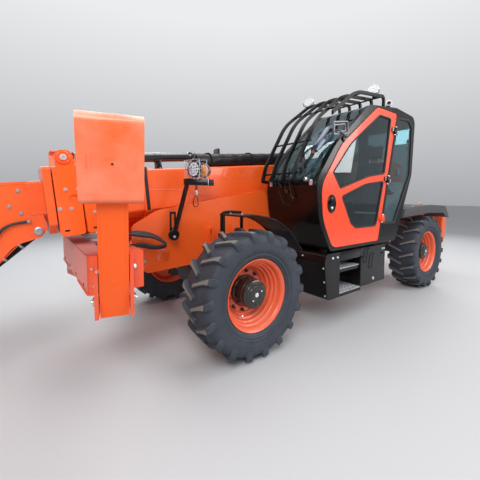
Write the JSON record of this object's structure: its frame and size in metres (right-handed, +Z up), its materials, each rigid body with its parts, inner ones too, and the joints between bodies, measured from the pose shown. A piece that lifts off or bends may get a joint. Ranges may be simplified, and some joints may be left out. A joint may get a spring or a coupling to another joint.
{
  "type": "telehandler",
  "caption": "Telescopic handler with a four-section boom, fork carriage, front stabilisers, side cab with a guard and four steered wheels.",
  "frame": {"origin": "on the floor, under the middle of the machine's overall length, on its centre line", "axes": "+X forwards along the boom, +Y to the machine's left, where the cab is, +Z up"},
  "size_m": [8.11, 2.458, 2.9304],
  "materials": {
    "orange_paint": "gloss",
    "black_paint": "gloss",
    "tyre": "matte",
    "glass": "polished",
    "seat_fabric": "matte",
    "black_plastic": "matte",
    "lamp": "gloss",
    "cast_iron": "painted",
    "chrome": "polished"
  },
  "bodies": {
    "chassis": {"chassis_frame": "orange_paint", "crossbeam": "orange_paint", "counterweight": "orange_paint", "front_axle": "cast_iron", "rear_axle": "cast_iron", "engine": "cast_iron", "engine_hood": "orange_paint", "cab_frame": "black_paint", "cab_roof": "black_paint", "windscreen": "glass", "cab_glass": "glass", "cab_guard": "black_paint", "seat": "seat_fabric", "console": "black_plastic", "step_box": "black_paint", "roof_lamps": "lamp", "headlamps": "black_paint", "mirrors": "black_plastic", "rear_fenders": "black_plastic"},
    "door": {"door_frame": "orange_paint", "door_glass": "glass"},
    "boom": {"boom_base": "orange_paint", "hose_carrier": "black_plastic"},
    "section_2": {"boom_section_2": "orange_paint"},
    "section_3": {"boom_section_3": "orange_paint"},
    "section_4": {"boom_section_4": "orange_paint"},
    "carriage": {"fork_carriage": "black_paint", "forks": "black_paint"},
    "lift_barrel": {"lift_cylinder": "orange_paint"},
    "lift_piston": {"lift_rod": "chrome"},
    "tilt_barrel": {"tilt_cylinder": "orange_paint"},
    "tilt_piston": {"tilt_rod": "chrome"},
    "leg_left": {"stabiliser_leg_left": "orange_paint"},
    "leg_right": {"stabiliser_leg_right": "orange_paint"},
    "pad_left": {"stabiliser_pad_left": "orange_paint"},
    "pad_right": {"stabiliser_pad_right": "orange_paint"},
    "steer_front_left": {"knuckle_front_left": "cast_iron", "fender_front_left": "black_plastic"},
    "wheel_front_left": {"rim_front_left": "orange_paint", "tyre_front_left": "tyre"},
    "steer_front_right": {"knuckle_front_right": "cast_iron", "fender_front_right": "black_plastic"},
    "wheel_front_right": {"rim_front_right": "orange_paint", "tyre_front_right": "tyre"},
    "steer_rear_left": {"knuckle_rear_left": "cast_iron"},
    "wheel_rear_left": {"rim_rear_left": "orange_paint", "tyre_rear_left": "tyre"},
    "steer_rear_right": {"knuckle_rear_right": "cast_iron"},
    "wheel_rear_right": {"rim_rear_right": "orange_paint", "tyre_rear_right": "tyre"}
  },
  "joints": [
    {"name": "door_open", "type": "hinge", "parent": "chassis", "child": "door", "pos_m": [-1.34104, 1.164, 0.92], "axis": [-0.2307, 0, 0.973], "range_deg": [0, 88]},
    {"name": "steer_front_left", "type": "hinge", "parent": "chassis", "child": "steer_front_left", "pos_m": [0.65146, 0.7, 0.59], "axis": [0, 0, 1], "range_deg": [-30, 30]},
    {"name": "spin_front_left", "type": "hinge", "parent": "steer_front_left", "child": "wheel_front_left", "pos_m": [0.65146, 0.955, 0.59], "axis": [0, 1, 0], "continuous": true},
    {"name": "steer_front_right", "type": "hinge", "parent": "chassis", "child": "steer_front_right", "pos_m": [0.65146, -0.7, 0.59], "axis": [0, 0, 1], "range_deg": [-30, 30]},
    {"name": "spin_front_right", "type": "hinge", "parent": "steer_front_right", "child": "wheel_front_right", "pos_m": [0.65146, -0.955, 0.59], "axis": [0, 1, 0], "continuous": true},
    {"name": "steer_rear_left", "type": "hinge", "parent": "chassis", "child": "steer_rear_left", "pos_m": [-2.98154, 0.7, 0.59], "axis": [0, 0, 1], "range_deg": [-30, 30]},
    {"name": "spin_rear_left", "type": "hinge", "parent": "steer_rear_left", "child": "wheel_rear_left", "pos_m": [-2.98154, 0.955, 0.59], "axis": [0, 1, 0], "continuous": true},
    {"name": "steer_rear_right", "type": "hinge", "parent": "chassis", "child": "steer_rear_right", "pos_m": [-2.98154, -0.7, 0.59], "axis": [0, 0, 1], "range_deg": [-30, 30]},
    {"name": "spin_rear_right", "type": "hinge", "parent": "steer_rear_right", "child": "wheel_rear_right", "pos_m": [-2.98154, -0.955, 0.59], "axis": [0, 1, 0], "continuous": true},
    {"name": "boom_lift", "type": "hinge", "parent": "chassis", "child": "boom", "pos_m": [-3.46504, 0, 1.955], "axis": [0, -1, 0], "range_deg": [0, 70]},
    {"name": "telescope_2", "type": "slide", "parent": "boom", "child": "section_2", "axis": [0.9957, 0, -0.0924], "range_m": [0, 3.5]},
    {"name": "telescope_3", "type": "slide", "parent": "section_2", "child": "section_3", "axis": [0.9957, 0, -0.0924], "range_m": [0, 3.5]},
    {"name": "telescope_4", "type": "slide", "parent": "section_3", "child": "section_4", "axis": [0.9957, 0, -0.0924], "range_m": [0, 3.5]},
    {"name": "fork_tilt", "type": "hinge", "parent": "section_4", "child": "carriage", "pos_m": [2.73474, 0, 0.6156], "axis": [0, -1, 0], "range_deg": [-95, 12]},
    {"name": "lift_cylinder_swing", "type": "hinge", "parent": "chassis", "child": "lift_barrel", "pos_m": [-2.36504, 0, 0.93], "axis": [0, -1, 0], "range_deg": [-0.5, 70.94]},
    {"name": "lift_cylinder_stroke", "type": "slide", "parent": "lift_barrel", "child": "lift_piston", "axis": [0.9815, 0, 0.1916], "range_m": [-0.003, 1.7276]},
    {"name": "tilt_cylinder_swing", "type": "hinge", "parent": "section_4", "child": "tilt_barrel", "pos_m": [2.21829, 0, 1.18674], "axis": [0, -1, 0], "range_deg": [-0.96, 4.16]},
    {"name": "tilt_cylinder_stroke", "type": "slide", "parent": "tilt_barrel", "child": "tilt_piston", "axis": [0.7593, 0, -0.6507], "range_m": [-0.0379, 0.2789]},
    {"name": "stabiliser_left", "type": "hinge", "parent": "chassis", "child": "leg_left", "pos_m": [1.77196, 0.728, 0.68], "axis": [-0.9728, 0.2317, 0], "range_deg": [0, 109.2]},
    {"name": "stabiliser_pad_left", "type": "hinge", "parent": "leg_left", "child": "pad_left", "pos_m": [1.82973, 0.97051, 1.72666], "axis": [-0.9728, 0.2317, 0], "range_deg": [-35, 0]},
    {"name": "stabiliser_right", "type": "hinge", "parent": "chassis", "child": "leg_right", "pos_m": [1.77196, -0.728, 0.68], "axis": [0.9728, 0.2317, 0], "range_deg": [0, 109.2]},
    {"name": "stabiliser_pad_right", "type": "hinge", "parent": "leg_right", "child": "pad_right", "pos_m": [1.82973, -0.97051, 1.72666], "axis": [0.9728, 0.2317, 0], "range_deg": [-35, 0]}
  ],
  "couplings": [
    {"joint": "steer_front_right", "follows": "steer_front_left", "ratio": 1},
    {"joint": "steer_rear_right", "follows": "steer_rear_left", "ratio": 1},
    {"joint": "telescope_3", "follows": "telescope_2", "ratio": 1},
    {"joint": "telescope_4", "follows": "telescope_2", "ratio": 1},
    {"joint": "lift_cylinder_swing", "follows": "boom_lift", "ratio": 1.0062},
    {"joint": "lift_cylinder_stroke", "follows": "boom_lift", "m_per_rad": 1.4116},
    {"joint": "tilt_cylinder_swing", "follows": "fork_tilt", "ratio": -0.03848},
    {"joint": "tilt_cylinder_stroke", "follows": "fork_tilt", "m_per_rad": -0.16641}
  ]
}
